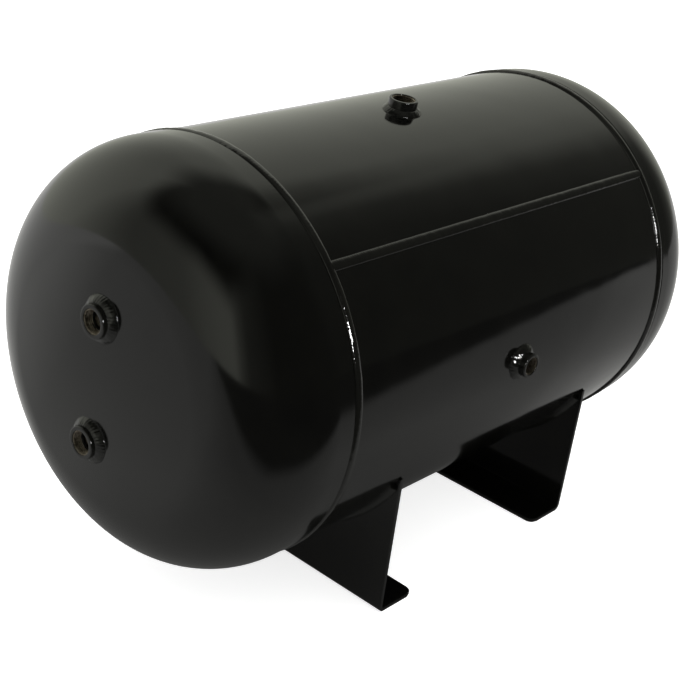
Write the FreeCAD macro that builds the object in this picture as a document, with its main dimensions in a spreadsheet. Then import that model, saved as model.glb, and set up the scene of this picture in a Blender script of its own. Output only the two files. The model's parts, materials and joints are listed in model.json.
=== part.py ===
import FreeCAD, Part
import math
import os
import Sketcher
from FreeCAD import Vector

# Horizontal air receiver: a rolled and seam-welded shell, two dished heads joggled into its ends,
# five threaded ports welded in, and two bent-plate feet.
# The tank's axis lies along Y, +Z is up, and the floor is Z = 0. The origin is on the floor, in the
# middle of the front foot's sole. "Front" is the end with the two head ports, towards -Y.

# Driving dimensions in millimetres and degrees: name, value, what it is.
DIMENSIONS = [
    ("shell_outer_dia", 304.8, "rolled shell, outside"),
    ("shell_wall", 3.0, "sheet of the shell and of both heads"),
    ("shell_length", 366.9, "rolled shell, end to end"),
    ("shell_front_overhang", 74.5, "shell's front end ahead of the front foot's outer face"),
    ("shell_rear_overhang", 58.0, "shell's rear end behind the rear foot's outer face"),
    ("floor_clearance", 33.9, "lowest line of the shell above the floor"),
    ("seam_angle", 41.6, "long seam, up from +X"),
    ("root_gap", 2.0, "gap that each butt weld fills"),
    ("fit_gap", 0.1, "slip clearance of a lip or a boss in its seat"),
    ("head_step", 0.9, "head's skirt stands proud of the shell by this"),
    ("front_skirt", 16.7, "joint centre to the start of the front head's knuckle"),
    ("rear_skirt", 11.2, "the same for the rear head, which is trimmed shorter"),
    ("knuckle_radius", 69.5, "outside radius of the head's knuckle"),
    ("crown_radius", 900.0, "outside radius of the head's crown"),
    ("joggle_run", 2.6, "length over which the skirt steps in to the lip"),
    ("lip_length", 12.0, "joggled lip inside the shell, from the joint centre"),
    ("girth_cap_overlap", 0.6, "girth weld's toe on the head, past the joggle"),
    ("seam_cap_half_width", 3.85, "seam centre to the toe of the seam weld"),
    ("cap_height", 1.1, "crown of every butt weld above the plate"),
    ("head_port_tilt", 5.0, "line through the head ports, off vertical towards +X"),
    ("head_port_offset", 46.5, "head port's axis from the tank's axis"),
    ("head_port_wall", 4.55, "head port's boss, bore to outside"),
    ("head_port_reach", 7.5, "head port's face above the crown"),
    ("top_port_angle", 85.0, "top port, up from +X"),
    ("top_port_shift", -6.95, "top port behind the middle of the shell's length"),
    ("top_port_wall", 3.55, "top port's boss, bore to outside"),
    ("side_port_angle", 0.0, "side port, up from +X"),
    ("side_port_shift", -4.45, "side port behind the middle of the shell's length"),
    ("side_port_wall", 3.6, "side port's boss, bore to outside"),
    ("drain_port_angle", -90.0, "drain port, at the lowest line of the shell"),
    ("drain_port_shift", -6.95, "drain port behind the middle of the shell's length"),
    ("drain_port_wall", 3.6, "drain port's boss, bore to outside"),
    ("shell_port_reach", 9.2, "face of a shell port above the shell"),
    ("port_inner_stand", 2.5, "boss inside the plate that carries it"),
    ("large_bore_dia", 14.9, "tapped bore of the head and top ports"),
    ("large_countersink", 1.35, "countersink of the head and top ports, depth and width"),
    ("small_bore_dia", 11.3, "tapped bore of the side and drain ports"),
    ("small_countersink", 1.3, "countersink of the side and drain ports, depth and width"),
    ("port_edge_break", 0.8, "chamfer round a port's face"),
    ("head_port_leg", 4.5, "fillet weld round a head port"),
    ("top_port_leg", 3.5, "fillet weld round the top port"),
    ("side_port_leg", 4.2, "fillet weld round the side port"),
    ("drain_port_leg", 3.5, "fillet weld round the drain port"),
    ("foot_plate", 3.0, "sheet of the feet"),
    ("foot_side_inset", 18.0, "foot's end at the floor, inside the shell's widest line"),
    ("foot_flare", 2.5, "foot's horn further out than its end at the floor"),
    ("horn_blunting", 3.0, "cut off the tip of the foot's horn"),
    ("flange_width", 39.0, "foot's sole, outer face to free edge"),
    ("flange_corner_radius", 7.0, "free corners of the flange"),
    ("bend_inner_radius", 2.0, "inside of the foot's bend"),
    ("foot_weld_leg", 4.0, "fillet weld between foot and shell"),
    ("foot_weld_end_gap", 6.3, "end of the foot weld short of the horn's outside, across"),
]

# Sizes that follow from the driving ones, as expressions.
SHELL_R = "(Sizes.shell_outer_dia / 2)"
BORE_R = f"({SHELL_R} - Sizes.shell_wall)"
HEAD_R = f"({SHELL_R} + Sizes.head_step)"
LIP_R = f"({BORE_R} - Sizes.fit_gap)"
HALF_GAP = "(Sizes.root_gap / 2)"
AXIS_Z = f"({SHELL_R} + Sizes.floor_clearance)"
FRONT_FOOT_Y = "(0 - Sizes.flange_width / 2)"
FRONT_END_Y = f"({FRONT_FOOT_Y} - Sizes.shell_front_overhang)"
REAR_FOOT_Y = f"({FRONT_END_Y} + Sizes.shell_length - Sizes.shell_rear_overhang)"
FRONT_JOINT_Y = f"({FRONT_END_Y} - {HALF_GAP})"
REAR_JOINT_Y = f"({FRONT_END_Y} + Sizes.shell_length + {HALF_GAP})"
# The crown's centre lies this far behind the plane where the knuckle starts.
CROWN_DEPTH = (
    "sqrt((Sizes.crown_radius - Sizes.knuckle_radius) ^ 2"
    f" - ({HEAD_R} - Sizes.knuckle_radius) ^ 2)"
)
# Where knuckle and crown meet, as a share of a radius from the crown's centre.
JUNCTION_R = f"(({HEAD_R} - Sizes.knuckle_radius) / (Sizes.crown_radius - Sizes.knuckle_radius))"
JUNCTION_Z = f"({CROWN_DEPTH} / (Sizes.crown_radius - Sizes.knuckle_radius))"
# A joggle of even wall: the inside turns this much further out than the outside.
JOGGLE_SHIFT = f"(Sizes.shell_wall * tan(atan(({HEAD_R} - {LIP_R}) / Sizes.joggle_run) / 2))"
# A girth weld reaches this far from the joint's centre, both ways.
GIRTH_HALF = f"({HALF_GAP} + Sizes.joggle_run + Sizes.girth_cap_overlap)"
# Half the width of a foot at the floor and at its horns, which end where they would meet the shell
# less their blunting, and the angle from the bottom line to each end of its welds.
FOOT_HALF = f"({SHELL_R} - Sizes.foot_side_inset)"
HORN_HALF = f"({FOOT_HALF} + Sizes.foot_flare)"
HORN_Z = f"({AXIS_Z} - sqrt({SHELL_R} ^ 2 - {HORN_HALF} ^ 2) - Sizes.horn_blunting)"
FOOT_WELD_HALF = f"(asin(({HORN_HALF} - Sizes.foot_weld_end_gap) / {SHELL_R}) / 1 deg)"

# Rotations that turn a piece's own +Z to point forward, to the rear, or out of the shell.
TO_FRONT = "rotation(vector(1; 0; 0); 90)"
TO_REAR = "rotation(vector(1; 0; 0); -90)"

RIGHT, LEFT = "right", "left"  # which way an outline's arc bulges
CUTTER_SPARE = 5.0  # how far a cutting body runs past what it cuts
WELD_SINK = 3.0  # how far a port weld's cone starts below the plate before the plate is cut away

doc = FreeCAD.newDocument("AirReceiver")
sizes = doc.addObject("Spreadsheet::Sheet", "Sizes")
nodes = []


def fill_sheet():
    """Write the driving dimensions into the sheet, one aliased row each."""
    for row, (name, value, meaning) in enumerate(DIMENSIONS, start=1):
        sizes.set(f"A{row}", name)
        sizes.set(f"B{row}", str(value))
        sizes.setAlias(f"B{row}", name)
        sizes.set(f"C{row}", meaning)
    doc.recompute()


def number(expression):
    """The present value of an expression on the sheet."""
    return float(sizes.evalExpression(expression))


def node(piece, label):
    """Make an object one of the tank's pieces; its label names its file."""
    piece.Label = label
    nodes.append(piece)
    return piece


def place(piece, x, y, z, rotation="rotation(vector(0; 0; 1); 0)"):
    """Bind a piece's place and turn to expressions."""
    piece.setExpression("Placement", f"placement(vector({x}; {y}; {z}); {rotation})")


def primitive(kind, name, **bound):
    """A Part primitive with its properties bound to expressions."""
    solid = doc.addObject(f"Part::{kind}", name)
    for key, expression in bound.items():
        solid.setExpression(key, expression)
    return solid


def subtract(name, base, tools):
    """Base less every tool, as Part booleans."""
    tool = tools[0]
    if len(tools) > 1:
        tool = doc.addObject("Part::MultiFuse", f"{name}_tools")
        tool.Shapes = tools
    result = doc.addObject("Part::Cut", name)
    result.Base = base
    result.Tool = tool
    return result


def new_sketch(body, name, plane, lift=None):
    """A sketch on one of the body's own planes, lifted off it if asked."""
    sketch = body.newObject("Sketcher::SketchObject", name)
    support = [f for f in body.Origin.OriginFeatures if f.Role == plane][0]
    sketch.AttachmentSupport = [(support, "")]
    sketch.MapMode = "FlatFace"
    if lift:
        sketch.setExpression("AttachmentOffset.Base.z", lift)
    return sketch


def arc_between(start, end, radius):
    """The short arc that runs anticlockwise from one point to another."""
    chord = end - start
    to_centre = Vector(-chord.y, chord.x, 0).normalize()
    centre = start + chord * 0.5 + to_centre * math.sqrt(radius**2 - chord.Length**2 / 4)
    first = math.atan2(start.y - centre.y, start.x - centre.x)
    last = math.atan2(end.y - centre.y, end.x - centre.x)
    if last < first:
        last += 2 * math.pi
    return Part.ArcOfCircle(Part.Circle(centre, Vector(0, 0, 1), radius), first, last)


def draw_outline(sketch, corners, arcs=None):
    """Draw a closed outline through corners given as pairs of expressions.

    arcs gives, for the edge that leaves a corner, the expression of its radius and whether it bulges to
    the RIGHT or to the LEFT of the way along. All other edges are straight.
    """
    arcs = arcs or {}
    points = [Vector(number(x), number(y), 0) for x, y in corners]
    ends = []
    for i, start in enumerate(points):
        end = points[(i + 1) % len(points)]
        radius, side = arcs.get(i, (None, RIGHT))
        if radius is None:
            edge = sketch.addGeometry(Part.LineSegment(start, end), False)
        else:
            first, last = (start, end) if side == RIGHT else (end, start)
            edge = sketch.addGeometry(arc_between(first, last, number(radius)), False)
            bound = sketch.addConstraint(Sketcher.Constraint("Radius", edge, number(radius)))
            sketch.setExpression(f"Constraints[{bound}]", radius)
        ends.append((edge, 1, 2) if side == RIGHT else (edge, 2, 1))
    for i, (edge, first, _) in enumerate(ends):
        last_edge, _, last = ends[i - 1]
        sketch.addConstraint(Sketcher.Constraint("Coincident", last_edge, last, edge, first))
        for way, expression in zip(("DistanceX", "DistanceY"), corners[i]):
            value = number(expression)
            bound = sketch.addConstraint(Sketcher.Constraint(way, -1, 1, edge, first, value))
            sketch.setExpression(f"Constraints[{bound}]", expression)


def draw_circle(sketch, x, y, radius):
    """Draw a circle whose centre and radius are expressions."""
    centre = Vector(number(x), number(y), 0)
    circle = Part.Circle(centre, Vector(0, 0, 1), number(radius))
    edge = sketch.addGeometry(circle, False)
    for constraint, expression in (
        (Sketcher.Constraint("DistanceX", -1, 1, edge, 3, centre.x), x),
        (Sketcher.Constraint("DistanceY", -1, 1, edge, 3, centre.y), y),
        (Sketcher.Constraint("Radius", edge, number(radius)), radius),
    ):
        bound = sketch.addConstraint(constraint)
        sketch.setExpression(f"Constraints[{bound}]", expression)


def revolve(body, name, corners, arcs=None):
    """Turn an outline in the body's XZ plane once round the body's Z axis."""
    sketch = new_sketch(body, f"{name}_profile", "XZ_Plane")
    draw_outline(sketch, corners, arcs)
    turned = body.newObject("PartDesign::Revolution", f"{name}_turned")
    turned.Profile = sketch
    turned.ReferenceAxis = (sketch, ["V_Axis"])
    turned.Angle = 360
    return turned


def pad(body, name, sketch, length):
    """Extrude a sketch by an expression."""
    extrusion = body.newObject("PartDesign::Pad", name)
    extrusion.Profile = sketch
    extrusion.setExpression("Length", length)
    return extrusion


def pocket(body, name, sketch, backwards=False):
    """Cut a sketch through the whole body, and make sure that it does cut."""
    doc.recompute()
    before = body.Shape.Volume
    cut = body.newObject("PartDesign::Pocket", name)
    cut.Profile = sketch
    cut.Type = "ThroughAll"
    cut.Reversed = backwards
    doc.recompute()
    if body.Shape.Volume > before - 1:
        raise RuntimeError(f"{name} cuts nothing")
    return cut


def out_of_shell(angle):
    """The rotation that points a piece's +Z out of the shell at an angle up from +X."""
    return f"rotation(vector(0; 1; 0); 90 - {angle})"


def boss_radius(port, size):
    """Outer radius of a port's boss: its bore, large or small, and its own wall."""
    return f"(Sizes.{size}_bore_dia / 2 + Sizes.{port}_wall)"


def port_station(port):
    """Where a shell port's axis crosses the tank's axis, along Y."""
    return f"({FRONT_END_Y} + Sizes.shell_length / 2 + Sizes.{port}_shift)"


def crown_height(offset):
    """Height of the head's outer face above the joint centre, at an offset from the tank's axis."""
    return (
        f"(Sizes.front_skirt - {CROWN_DEPTH} + sqrt(Sizes.crown_radius ^ 2 - ({offset}) ^ 2))"
    )


def make_shell(port_table):
    """The rolled shell: a tube with its long seam still open and a hole for each port."""
    outside = primitive(
        "Cylinder", "shell_outside", Radius=SHELL_R, Height="Sizes.shell_length"
    )
    inside = primitive(
        "Cylinder",
        "shell_inside",
        Radius=BORE_R,
        Height=f"Sizes.shell_length + {2 * CUTTER_SPARE}",
    )
    seam = primitive(
        "Box",
        "seam_gap",
        Length=SHELL_R,
        Width=f"Sizes.shell_length + {2 * CUTTER_SPARE}",
        Height="Sizes.root_gap",
    )
    place(outside, 0, FRONT_END_Y, AXIS_Z, TO_REAR)
    place(inside, 0, f"{FRONT_END_Y} - {CUTTER_SPARE}", AXIS_Z, TO_REAR)
    # The box's corner moves half a gap across the seam, so that the gap is centred on it.
    place(
        seam,
        f"({BORE_R} - {CUTTER_SPARE}) * cos(Sizes.seam_angle)"
        f" + {HALF_GAP} * sin(Sizes.seam_angle)",
        f"{FRONT_END_Y} - {CUTTER_SPARE}",
        f"{AXIS_Z} + ({BORE_R} - {CUTTER_SPARE}) * sin(Sizes.seam_angle)"
        f" - {HALF_GAP} * cos(Sizes.seam_angle)",
        "rotation(vector(0; 1; 0); 0 - Sizes.seam_angle)",
    )
    cutters = [inside, seam]
    for name, size in port_table:
        hole = primitive(
            "Cylinder",
            f"{name}_hole",
            Radius=f"{boss_radius(name, size)} + Sizes.fit_gap",
            Height=f"{SHELL_R} + {CUTTER_SPARE}",
        )
        place(hole, 0, port_station(name), AXIS_Z, out_of_shell(f"Sizes.{name}_angle"))
        cutters.append(hole)
    node(subtract("shell", outside, cutters), "shell")


def head_outline(skirt):
    """Corners and arcs of a head's section: lip, joggle, skirt, knuckle and crown, out and back."""
    skirt_start = f"{HALF_GAP} + Sizes.joggle_run"
    inner_knuckle = "(Sizes.knuckle_radius - Sizes.shell_wall)"
    inner_crown = "(Sizes.crown_radius - Sizes.shell_wall)"
    crown_base = f"({skirt} - {CROWN_DEPTH})"
    corners = [
        (LIP_R, "0 - Sizes.lip_length"),
        (LIP_R, HALF_GAP),
        (HEAD_R, skirt_start),
        (HEAD_R, skirt),
        (f"Sizes.crown_radius * {JUNCTION_R}", f"{crown_base} + Sizes.crown_radius * {JUNCTION_Z}"),
        ("0", f"{crown_base} + Sizes.crown_radius"),
        ("0", f"{crown_base} + {inner_crown}"),
        (f"{inner_crown} * {JUNCTION_R}", f"{crown_base} + {inner_crown} * {JUNCTION_Z}"),
        (f"{HEAD_R} - Sizes.shell_wall", skirt),
        (f"{HEAD_R} - Sizes.shell_wall", f"{skirt_start} + {JOGGLE_SHIFT}"),
        (f"{LIP_R} - Sizes.shell_wall", f"{HALF_GAP} + {JOGGLE_SHIFT}"),
        (f"{LIP_R} - Sizes.shell_wall", "0 - Sizes.lip_length"),
    ]
    arcs = {
        3: ("Sizes.knuckle_radius", RIGHT),
        4: ("Sizes.crown_radius", RIGHT),
        6: (inner_crown, LEFT),
        7: (inner_knuckle, LEFT),
    }
    return corners, arcs


def make_head(name, skirt, joint_y, rotation, port_signs):
    """A dished head, with a hole for each port on its tilted line."""
    body = doc.addObject("PartDesign::Body", name)
    revolve(body, name, *head_outline(skirt))
    if port_signs:
        sketch = new_sketch(body, f"{name}_holes", "XY_Plane")
        for sign in port_signs:
            draw_circle(
                sketch,
                f"{sign} * Sizes.head_port_offset * sin(Sizes.head_port_tilt)",
                f"{sign} * Sizes.head_port_offset * cos(Sizes.head_port_tilt)",
                f"{boss_radius('head_port', 'large')} + Sizes.fit_gap",
            )
        pocket(body, f"{name}_port_holes", sketch, backwards=True)
    place(body, 0, joint_y, AXIS_Z, rotation)
    node(body, name)


def make_girth_weld(name, joint_y, rotation):
    """The ring of weld that fills the groove between shell and joggle and caps both."""
    body = doc.addObject("PartDesign::Body", name)
    half_chord_squared = f"({GIRTH_HALF} ^ 2 + (Sizes.head_step / 2) ^ 2)"
    cap_radius = f"({half_chord_squared} + Sizes.cap_height ^ 2) / (2 * Sizes.cap_height)"
    corners = [
        (SHELL_R, f"0 - {GIRTH_HALF}"),
        (SHELL_R, f"0 - {HALF_GAP}"),
        (LIP_R, f"0 - {HALF_GAP}"),
        (LIP_R, HALF_GAP),
        (HEAD_R, f"{HALF_GAP} + Sizes.joggle_run"),
        (HEAD_R, GIRTH_HALF),
    ]
    revolve(body, name, corners, {5: (cap_radius, LEFT)})
    place(body, 0, joint_y, AXIS_Z, rotation)
    node(body, name)


def make_seam_weld():
    """The long weld: a root that fills the gap end to end, and a cap between the girth welds."""
    body = doc.addObject("PartDesign::Body", "seam_weld")
    root = new_sketch(body, "seam_root", "XY_Plane")
    inner_x = f"sqrt({BORE_R} ^ 2 - {HALF_GAP} ^ 2)"
    outer_x = f"sqrt({SHELL_R} ^ 2 - {HALF_GAP} ^ 2)"
    draw_outline(
        root,
        [
            (inner_x, f"0 - {HALF_GAP}"),
            (outer_x, f"0 - {HALF_GAP}"),
            (outer_x, HALF_GAP),
            (inner_x, HALF_GAP),
        ],
        {1: (SHELL_R, RIGHT), 3: (BORE_R, LEFT)},
    )
    pad(body, "seam_root_pad", root, "Sizes.shell_length")
    cap_start = f"{GIRTH_HALF} - {HALF_GAP}"
    cap = new_sketch(body, "seam_cap", "XY_Plane", lift=cap_start)
    half = "Sizes.seam_cap_half_width"
    toe_x = f"sqrt({SHELL_R} ^ 2 - {half} ^ 2)"
    cap_radius = f"({half} ^ 2 + Sizes.cap_height ^ 2) / (2 * Sizes.cap_height)"
    draw_outline(
        cap,
        [(toe_x, f"0 - {half}"), (toe_x, half)],
        {0: (cap_radius, RIGHT), 1: (SHELL_R, LEFT)},
    )
    pad(body, "seam_cap_pad", cap, f"Sizes.shell_length - 2 * ({cap_start})")
    place(
        body,
        0,
        FRONT_END_Y,
        AXIS_Z,
        f"rotation(vector(0; 1; 0); 0 - Sizes.seam_angle) * {TO_REAR}",
    )
    node(body, "seam_weld")


def make_boss(name, size, outer, inner_end, face):
    """A turned boss with a plain tapping bore and a countersunk mouth, between two heights."""
    bore = f"Sizes.{size}_bore_dia / 2"
    countersink = f"Sizes.{size}_countersink"
    body = doc.addObject("PartDesign::Body", name)
    corners = [
        (bore, inner_end),
        (outer, inner_end),
        (outer, f"{face} - Sizes.port_edge_break"),
        (f"{outer} - Sizes.port_edge_break", face),
        (f"{bore} + {countersink}", face),
        (bore, f"{face} - {countersink}"),
    ]
    revolve(body, name, corners)
    return node(body, name)


def make_port_weld(name, outer, leg, surface, form):
    """A fillet weld round a boss: a cone less the boss and less the plate's outer form."""
    cone = primitive(
        "Cone",
        f"{name}_cone",
        Radius1=f"{outer} + {leg} + {WELD_SINK}",
        Radius2=outer,
        Height=f"{leg} + {WELD_SINK}",
    )
    core = primitive(
        "Cylinder",
        f"{name}_core",
        Radius=outer,
        Height=f"{leg} + {WELD_SINK + 2 * CUTTER_SPARE}",
    )
    weld = subtract(f"{name}_weld", cone, [core, form])
    node(weld, f"{name}_weld")
    return cone, f"{surface} - {WELD_SINK}", core, f"{surface} - {WELD_SINK + CUTTER_SPARE}"


def make_shell_port(name, size, form):
    """A port set through the shell, and the weld round it."""
    outer = boss_radius(name, size)
    angle = f"Sizes.{name}_angle"
    station = port_station(name)
    inner_end = f"{BORE_R} - Sizes.port_inner_stand"
    face = f"{SHELL_R} + Sizes.shell_port_reach"
    boss = make_boss(name, size, outer, inner_end, face)
    place(boss, 0, station, AXIS_Z, out_of_shell(angle))
    cone, cone_z, core, core_z = make_port_weld(name, outer, f"Sizes.{name}_leg", SHELL_R, form)
    for solid, height in ((cone, cone_z), (core, core_z)):
        place(
            solid,
            f"({height}) * cos({angle})",
            station,
            f"{AXIS_Z} + ({height}) * sin({angle})",
            out_of_shell(angle),
        )


def make_head_port(name, sign, form):
    """A port set through the front head, square to the tank's axis, and the weld round it."""
    outer = boss_radius("head_port", "large")
    surface = crown_height("Sizes.head_port_offset")
    inner_end = f"{surface} - Sizes.shell_wall - Sizes.port_inner_stand"
    face = f"{surface} + Sizes.head_port_reach"
    boss = make_boss(name, "large", outer, inner_end, face)
    x = f"{sign} * Sizes.head_port_offset * sin(Sizes.head_port_tilt)"
    z = f"{AXIS_Z} + {sign} * Sizes.head_port_offset * cos(Sizes.head_port_tilt)"
    place(boss, x, FRONT_JOINT_Y, z, TO_FRONT)
    cone, cone_z, core, core_z = make_port_weld(
        name, outer, "Sizes.head_port_leg", surface, form
    )
    for solid, height in ((cone, cone_z), (core, core_z)):
        place(solid, x, f"{FRONT_JOINT_Y} - ({height})", z, TO_FRONT)


def corner_edges(shape, x, y):
    """Names of the short upright edges at a flange's two free corners."""
    names = []
    for i, edge in enumerate(shape.Edges, start=1):
        ends = [v.Point for v in edge.Vertexes]
        near = all(abs(abs(p.x) - x) < 0.5 and abs(p.y - y) < 1e-6 for p in ends)
        if near and abs(ends[0].z - ends[-1].z) > 1:
            names.append(f"Edge{i}")
    if len(names) != 2:
        raise RuntimeError("a flange needs two free corners")
    return names


def make_foot(name, plate_y, rotation):
    """A foot: sheet bent to an L along X, trimmed to its taper, cut to a saddle, corners rounded."""
    body = doc.addObject("PartDesign::Body", name)
    plate = "Sizes.foot_plate"
    bend = f"(Sizes.bend_inner_radius + {plate})"
    above = f"{HORN_Z} + {CUTTER_SPARE}"
    section = new_sketch(body, f"{name}_section", "YZ_Plane", lift=f"0 - {HORN_HALF}")
    draw_outline(
        section,
        [
            ("0", above),
            ("0", bend),
            (bend, "0"),
            ("Sizes.flange_width", "0"),
            ("Sizes.flange_width", plate),
            (bend, plate),
            (plate, bend),
            (plate, above),
        ],
        {1: (bend, RIGHT), 5: ("Sizes.bend_inner_radius", LEFT)},
    )
    pad(body, f"{name}_sheet", section, f"2 * {HORN_HALF}")
    trim = new_sketch(body, f"{name}_taper", "XZ_Plane")
    draw_outline(
        trim,
        [
            (f"0 - {FOOT_HALF}", f"{-CUTTER_SPARE}"),
            (FOOT_HALF, f"{-CUTTER_SPARE}"),
            (FOOT_HALF, "0"),
            (HORN_HALF, HORN_Z),
            (f"0 - {HORN_HALF}", HORN_Z),
            (f"0 - {FOOT_HALF}", "0"),
        ],
    )
    reach = f"({HORN_HALF} + {CUTTER_SPARE})"
    draw_outline(
        trim,
        [
            (f"0 - {reach}", f"{-2 * CUTTER_SPARE}"),
            (reach, f"{-2 * CUTTER_SPARE}"),
            (reach, f"{above} + {CUTTER_SPARE}"),
            (f"0 - {reach}", f"{above} + {CUTTER_SPARE}"),
        ],
    )
    pocket(body, f"{name}_taper_cut", trim)
    saddle = new_sketch(body, f"{name}_saddle", "XZ_Plane")
    draw_circle(saddle, "0", AXIS_Z, SHELL_R)
    cut = pocket(body, f"{name}_saddle_cut", saddle)
    rounding = body.newObject("PartDesign::Fillet", f"{name}_corners")
    corners = corner_edges(cut.Shape, number(FOOT_HALF), number("Sizes.flange_width"))
    rounding.Base = (cut, corners)
    rounding.setExpression("Radius", "Sizes.flange_corner_radius")
    place(body, 0, plate_y, 0, rotation)
    node(body, name)


def make_foot_weld(name, face_y, faces_front, form):
    """A fillet weld along the saddle, on one side of a foot's plate."""
    cone = primitive(
        "Cone",
        f"{name}_cone",
        Radius1=f"{SHELL_R} + Sizes.foot_weld_leg",
        Radius2=SHELL_R,
        Height="Sizes.foot_weld_leg",
        Angle=f"2 * {FOOT_WELD_HALF}",
    )
    # The cone's sweep starts at its own X axis, so it is first turned to straddle the bottom line.
    if faces_front:
        turn = f"{TO_FRONT} * rotation(vector(0; 0; 1); -90 - {FOOT_WELD_HALF})"
    else:
        turn = f"{TO_REAR} * rotation(vector(0; 0; 1); 90 - {FOOT_WELD_HALF})"
    place(cone, 0, face_y, AXIS_Z, turn)
    node(subtract(name, cone, [form]), name)


def check_and_write():
    """Refuse a failed object or shape, then write each piece to its own file."""
    doc.recompute()
    for item in doc.Objects:
        if "Invalid" in item.State or "Error" in item.State:
            raise RuntimeError(f"{item.Name} failed: {item.State}")
    for piece in nodes:
        shape = piece.Shape
        if shape.isNull() or not shape.isValid() or len(shape.Solids) != 1:
            raise RuntimeError(f"{piece.Label} is not one valid solid")
    os.makedirs("parts", exist_ok=True)
    for piece in nodes:
        piece.Shape.exportStep(f"parts/{piece.Label}.step")
        box = piece.Shape.BoundBox
        print(
            f"{piece.Label:24s} {piece.Shape.Volume:12.1f} mm3 "
            f"X {box.XMin:8.2f} {box.XMax:8.2f}  Y {box.YMin:8.2f} {box.YMax:8.2f} "
            f" Z {box.ZMin:8.2f} {box.ZMax:8.2f}"
        )


fill_sheet()

shell_ports = [("top_port", "large"), ("side_port", "small"), ("drain_port", "small")]
head_ports = [("head_upper_port", 1), ("head_lower_port", -1)]

# The outer forms of shell and front head, which the welds on them are cut to.
shell_form = primitive(
    "Cylinder", "shell_form", Radius=SHELL_R, Height=f"Sizes.shell_length + {2 * CUTTER_SPARE}"
)
place(shell_form, 0, f"{FRONT_END_Y} - {CUTTER_SPARE}", AXIS_Z, TO_REAR)
crown_form = primitive("Sphere", "crown_form", Radius="Sizes.crown_radius")
place(
    crown_form,
    0,
    f"{FRONT_JOINT_Y} - (Sizes.front_skirt - {CROWN_DEPTH})",
    AXIS_Z,
)

make_shell(shell_ports)
make_head("front_head", "Sizes.front_skirt", FRONT_JOINT_Y, TO_FRONT, [sign for _, sign in head_ports])
make_head("rear_head", "Sizes.rear_skirt", REAR_JOINT_Y, TO_REAR, [])
make_girth_weld("front_girth_weld", FRONT_JOINT_Y, TO_FRONT)
make_girth_weld("rear_girth_weld", REAR_JOINT_Y, TO_REAR)
make_seam_weld()
for port, size in shell_ports:
    make_shell_port(port, size, shell_form)
for port, sign in head_ports:
    make_head_port(port, sign, crown_form)

make_foot("front_foot", FRONT_FOOT_Y, "rotation(vector(0; 0; 1); 0)")
make_foot("rear_foot", REAR_FOOT_Y, "rotation(vector(0; 0; 1); 180)")
make_foot_weld("front_foot_outer_weld", FRONT_FOOT_Y, True, shell_form)
make_foot_weld("front_foot_inner_weld", f"{FRONT_FOOT_Y} + Sizes.foot_plate", False, shell_form)
make_foot_weld("rear_foot_outer_weld", REAR_FOOT_Y, False, shell_form)
make_foot_weld("rear_foot_inner_weld", f"{REAR_FOOT_Y} - Sizes.foot_plate", True, shell_form)

check_and_write()
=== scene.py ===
import json
import logging
import math
from dataclasses import dataclass
from enum import Enum
from functools import partial
from typing import Any, Callable, Iterable, Sequence

import bmesh
import bpy
from mathutils import Matrix, Vector

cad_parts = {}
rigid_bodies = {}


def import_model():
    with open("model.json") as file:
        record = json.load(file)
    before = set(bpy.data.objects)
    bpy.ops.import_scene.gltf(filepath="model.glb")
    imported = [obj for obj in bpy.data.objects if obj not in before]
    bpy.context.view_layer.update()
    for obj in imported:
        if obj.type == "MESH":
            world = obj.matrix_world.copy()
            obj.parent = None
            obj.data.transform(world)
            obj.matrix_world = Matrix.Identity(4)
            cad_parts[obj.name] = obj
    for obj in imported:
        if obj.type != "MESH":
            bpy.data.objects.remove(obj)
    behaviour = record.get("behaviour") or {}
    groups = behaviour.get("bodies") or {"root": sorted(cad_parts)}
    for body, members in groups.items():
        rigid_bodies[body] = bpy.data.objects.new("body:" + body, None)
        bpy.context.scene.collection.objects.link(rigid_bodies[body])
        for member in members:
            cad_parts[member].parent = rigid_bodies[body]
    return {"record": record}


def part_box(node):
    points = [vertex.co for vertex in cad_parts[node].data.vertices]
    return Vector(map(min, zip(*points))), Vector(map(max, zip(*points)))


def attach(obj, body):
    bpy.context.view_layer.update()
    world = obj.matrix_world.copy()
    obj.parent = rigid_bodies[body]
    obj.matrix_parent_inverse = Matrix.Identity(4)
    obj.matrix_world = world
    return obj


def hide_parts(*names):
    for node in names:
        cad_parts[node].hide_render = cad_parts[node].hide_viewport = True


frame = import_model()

# A horizontal air receiver in gloss black enamel. Every length is in metres unless its name ends
# in _mm. The tank's axis lies along Y, its two-port head faces -Y, and the floor is Z = 0.

MM = 0.001
ROOT = "root"
ROUND_STEPS = 256  # facets round the barrel and the heads
FOOT_SHEET = 3.0 * MM
STUDIO_MIDDLE_Y = 0.0845  # the camera and the lamps are placed from here, on the tank's axis
RIPPLE_GAIN = 10  # slow noise uses about a tenth of its range, so a bump takes ten times the depth
PEEL_GAIN = 2  # and fine noise about a half

log = logging.getLogger("air_receiver")

Point = tuple[float, float]


# ---------------------------------------------------------------- node and mesh helpers


def linear(code: str) -> tuple[float, float, float, float]:
    """Turn an sRGB hex colour into the linear RGBA that a shader takes.

    Args:
        code: a colour such as "#0a0a0a".

    Returns:
        Red, green, blue and an alpha of one.
    """
    channels = [int(code[i : i + 2], 16) / 255 for i in (1, 3, 5)]
    straight = [c / 12.92 if c <= 0.04045 else ((c + 0.055) / 1.055) ** 2.4 for c in channels]
    return (straight[0], straight[1], straight[2], 1.0)


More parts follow.
